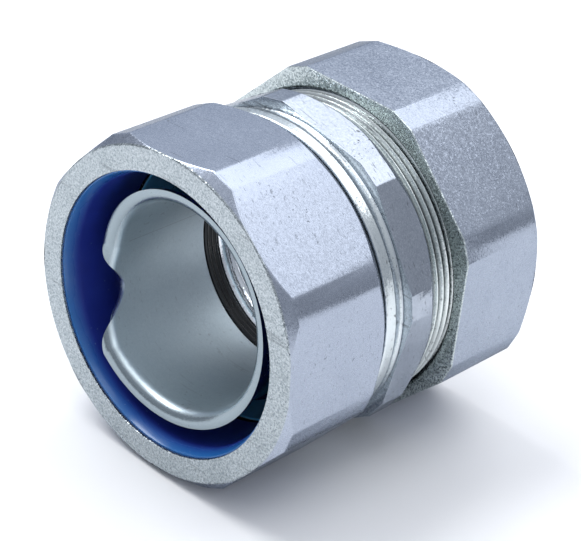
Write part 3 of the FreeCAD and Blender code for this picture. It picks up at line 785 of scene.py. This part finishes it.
def makeBlueSeal():
    p = bluePlastic
    finish, tree, shader, spot = newFinish("bluePlastic", Roughness=0.2, IOR=1.5)
    where = useGroup(tree, axisPlace, {"Position": spot})
    # the ring is painted lighter towards its front, painted light where light reaches in at the nut's
    # mouth; the front is also made glossier
    front = stretch(tree, where["Station"], *p["frontRun"], 1.0, 0.0)
    cloud = noise(tree, spot, 160.0, 4.0)
    color = blendColors(tree, front, blendColors(tree, cloud, p["dark"], p["light"]), p["front"])
    specks = stretch(tree, noise(tree, spot, 1900.0, 2.0), 0.73, 0.78)
    color = blendColors(tree, sums(tree, "MULTIPLY", specks, 0.5), color, p["dust"])
    rough = sums(tree, "SUBTRACT", stretch(tree, cloud, 0.3, 0.7, *p["rough"]),
                 sums(tree, "MULTIPLY", front, 0.16))
    # the mould's parting line stands up a little
    seam = band(tree, where["Angle"], *p["seam"], 0.15)
    ripple = sums(tree, "ADD", sums(tree, "MULTIPLY", cloud, 0.4), seam)
    setSurface(tree, shader, color, rough, depth=0.1, Height=ripple, Strength=0.25)
    return finish


rolledSteel = {
    "dark": (0.57, 0.67, 0.72), "light": (0.69, 0.78, 0.82), "rubbed": (0.58, 0.68, 0.72),
    "rim": (0.24, 0.29, 0.32), "rough": (0.36, 0.46), "jointAngles": (170.42, 170.62),
    "jointStations": (9.0, 27.5), "jointRadius": (18.5, 18.7), "flareRadius": (18.55, 19.1),
}


def makeFerruleSteel():
    p = rolledSteel
    finish, tree, shader, spot = newFinish("rolledSteel", metallic=1.0)
    where = useGroup(tree, axisPlace, {"Position": spot})
    grain = useGrain(tree, spot, 4200.0, 0.035, 0.35, **{"Cloud Scale": 110.0})
    marks = useGroup(tree, handlingMarks, {"Position": spot, "Scratches": 0.15, "Smudges": 0.25})
    color = blendColors(tree, stretch(tree, grain["Tone"], *toneRange), p["dark"], p["light"])
    color = blendColors(tree, sums(tree, "MULTIPLY", marks["Rubs"], 0.4), color, p["rubbed"])
    # where the strip's edges meet
    joint = sums(tree, "MULTIPLY", band(tree, where["Angle"], *p["jointAngles"], 0.1),
                 band(tree, where["Station"], *p["jointStations"], 0.2))
    joint = sums(tree, "MULTIPLY", joint, stretch(tree, where["Radius"], *p["jointRadius"], 1.0, 0.0))
    color = blendColors(tree, sums(tree, "MULTIPLY", joint, 0.6), color, grime)
    color = blendColors(tree, sums(tree, "MAXIMUM", grain["Pits"], marks["Lines"]), color, grime)
    # the flared rim gets painted shade, a darker colour, and is shinier
    flare = stretch(tree, where["Radius"], *p["flareRadius"])
    color = blendColors(tree, sums(tree, "MULTIPLY", flare, 0.85), color, p["rim"])
    rough = sums(tree, "MULTIPLY", stretch(tree, grain["Gloss"], *glossRange, *p["rough"]),
                 stretch(tree, flare, 0.0, 1.0, 1.0, 0.6))
    setSurface(tree, shader, color, rough, depth=0.06, sunk=True, Strength=0.5,
               Height=sums(tree, "ADD", joint, grain["Pits"]), Normal=grain["Normal"])
    return finish


rubberFinishes = {
    "blackRubber": {"dark": (0.005, 0.005, 0.006), "light": (0.018, 0.018, 0.02), "rough": 0.2},
    "glandRubber": {"dark": (0.010, 0.010, 0.010), "light": (0.03, 0.03, 0.032), "rough": 0.5},
}


def makeRubber(name):
    r = rubberFinishes[name]
    finish, tree, shader, spot = newFinish(name, IOR=1.5)
    skin = noise(tree, spot, 1400.0, 4.0)
    bloom = noise(tree, spot, 130.0, 5.0)
    color = blendColors(tree, stretch(tree, bloom, 0.35, 0.7), r["dark"], r["light"])
    rough = stretch(tree, bloom, 0.3, 0.7, r["rough"], r["rough"] + 0.2)
    setSurface(tree, shader, color, rough, depth=0.04, Height=skin, Strength=0.25)
    return finish


ringFinishes = {
    "washerSteel": {"dark": (0.42, 0.43, 0.46), "light": (0.62, 0.64, 0.67), "lines": 9.0},
    "gripSteel": {"dark": (0.36, 0.37, 0.40), "light": (0.58, 0.60, 0.64), "lines": 15.0},
}


def makeRingSteel(name):
    # pressed and plated steel, with fine lathe lines round the axis
    r = ringFinishes[name]
    finish, tree, shader, spot = newFinish(name, metallic=1.0)
    where = useGroup(tree, axisPlace, {"Position": spot})
    grain = useGrain(tree, spot, 3600.0, 0.1, 0.5)
    across = addNode(tree, "ShaderNodeCombineXYZ", {"X": where["Radius"], "Y": where["Station"]})
    lines = noise(tree, across.outputs[0], r["lines"], 3.0)
    share = sums(tree, "ADD", sums(tree, "MULTIPLY", grain["Tone"], 0.6),
                 sums(tree, "MULTIPLY", lines, 0.4))
    color = blendColors(tree, stretch(tree, share, 0.3, 0.7), r["dark"], r["light"])
    color = blendColors(tree, grain["Pits"], color, grime)
    rough = stretch(tree, grain["Gloss"], *glossRange, 0.24, 0.42)
    setSurface(tree, shader, color, rough, depth=0.03, Height=lines, Strength=0.3,
               Normal=grain["Normal"])
    return finish


def dress(piece, finish):
    piece.data.materials.clear()
    piece.data.materials.append(finish)


dress(shown["hoseNut"], makeZinc("hoseNutZinc", faceStation=0.0))
dress(shown["conduitNut"], makeZinc("conduitNutZinc", faceStation=41.5))
dress(shown["body"], makeZinc("bodyZinc", threadBand=(36.1, 48.5, 28.5), polishedBand=(22.0, 28.8),
                              innerRadius=24.6))
dress(shown["seal"], makeBlueSeal())
dress(shown["ferrule"], makeFerruleSteel())
dress(shown["gasket"], makeRubber("blackRubber"))
dress(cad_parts["gland_ring"], makeRubber("glandRubber"))
dress(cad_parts["slip_washer"], makeRingSteel("washerSteel"))
dress(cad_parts["grip_ring"], makeRingSteel("gripSteel"))
print("finishes applied")


# camera and studio

camera = {
    "azimuth": 40.774, "elevation": 30.702, "roll": 6.723,
    "distance": 389.99, "target": (0.92, -0.35, -1.456), "lens": 136.46, "sensor": 36, "near": 0.01,
}


def makeCamera():
    c = camera
    turn, rise = math.radians(c["azimuth"]), math.radians(c["elevation"])
    back = Vector((math.sin(turn) * math.cos(rise), -math.cos(turn) * math.cos(rise), math.sin(rise)))
    deselectAll()
    bpy.ops.object.camera_add(location=(Vector(c["target"]) + back * c["distance"]) * mm)
    viewer = bpy.context.object
    viewer.rotation_euler = (-back).to_track_quat("-Z", "Y").to_euler()
    viewer.rotation_euler.rotate_axis("Z", math.radians(c["roll"]))
    viewer.data.lens = c["lens"]
    viewer.data.sensor_width = c["sensor"]
    viewer.data.clip_start = c["near"]
    bpy.context.scene.camera = viewer


makeCamera()

softLights = {
    # name: heading from +X towards +Y and elevation in degrees, distance, width, height, watts, colour
    "backOverhead": (91, 60, 1.0, 1.12, 0.83, 4.8, (0.97, 0.98, 1.0)),
    "leftOverhead": (195, 58, 1.1, 0.6, 0.6, 9.0, (0.98, 0.99, 1.0)),
    "frontOverhead": (-48, 64, 1.0, 0.55, 0.55, 1.3, (0.98, 0.99, 1.0)),
}


def makeLights():
    for name, (heading, elevation, distance, width, height, watts, tint) in softLights.items():
        turn, rise = math.radians(heading), math.radians(elevation)
        toLight = Vector((math.cos(turn) * math.cos(rise), math.sin(turn) * math.cos(rise),
                          math.sin(rise)))
        deselectAll()
        bpy.ops.object.light_add(type="AREA", location=toLight * distance)
        light = bpy.context.object
        light.name = name
        light.rotation_euler = (-toLight).to_track_quat("-Z", "Y").to_euler()
        light.data.shape = "RECTANGLE"
        light.data.size, light.data.size_y = width, height
        light.data.energy = watts
        light.data.color = tint


studio = {
    # brightness by height, with a window low on one side
    "horizon": (0.38, 0.41, 0.465), "zenith": (0.84, 0.88, 0.96), "strength": 0.8,
    "windowHeading": 139.0, "windowWidth": 45.0, "windowFull": 0.97, "windowGain": 2.2,
    "zenithHeight": 0.9,
}
paper = {"size": 6, "rough": 0.7, "dark": (0.84, 0.84, 0.85), "light": (0.87, 0.87, 0.875)}


def makeRoom():
    s = studio
    world = bpy.data.worlds.new("studioRoom")
    bpy.context.scene.world = world
    world.use_nodes = True
    tree = world.node_tree
    direction = addNode(tree, "ShaderNodeTexCoord").outputs["Generated"]
    parts = addNode(tree, "ShaderNodeSeparateXYZ", {0: direction}).outputs
    height = stretch(tree, parts["Z"], 0.0, s["zenithHeight"])
    sky = blendColors(tree, height, s["horizon"], s["zenith"])
    heading = math.radians(s["windowHeading"])
    towards = addNode(tree, "ShaderNodeVectorMath",
                      {0: direction, 1: (math.cos(heading), math.sin(heading), 0.0)},
                      operation="DOT_PRODUCT").outputs["Value"]
    window = stretch(tree, towards, math.cos(math.radians(s["windowWidth"])), s["windowFull"],
                     1.0, s["windowGain"])
    background = tree.nodes["Background"]
    tree.links.new(sky, background.inputs["Color"])
    tree.links.new(sums(tree, "MULTIPLY", window, s["strength"]), background.inputs["Strength"])


def makeFloor():
    deselectAll()
    bpy.ops.mesh.primitive_plane_add(size=paper["size"], location=(0, 0, floorZ))
    floor = bpy.context.object
    floor.name = "floor"
    finish, tree, shader, spot = newFinish("floorPaper", Roughness=paper["rough"])
    fibre = noise(tree, spot, 60.0, 3.0)
    color = blendColors(tree, fibre, paper["dark"], paper["light"])
    tree.links.new(color, shader.inputs["Base Color"])
    floor.data.materials.append(finish)


makeLights()
makeRoom()
makeFloor()
bpy.context.scene.view_settings.view_transform = "Standard"
print("studio ready")
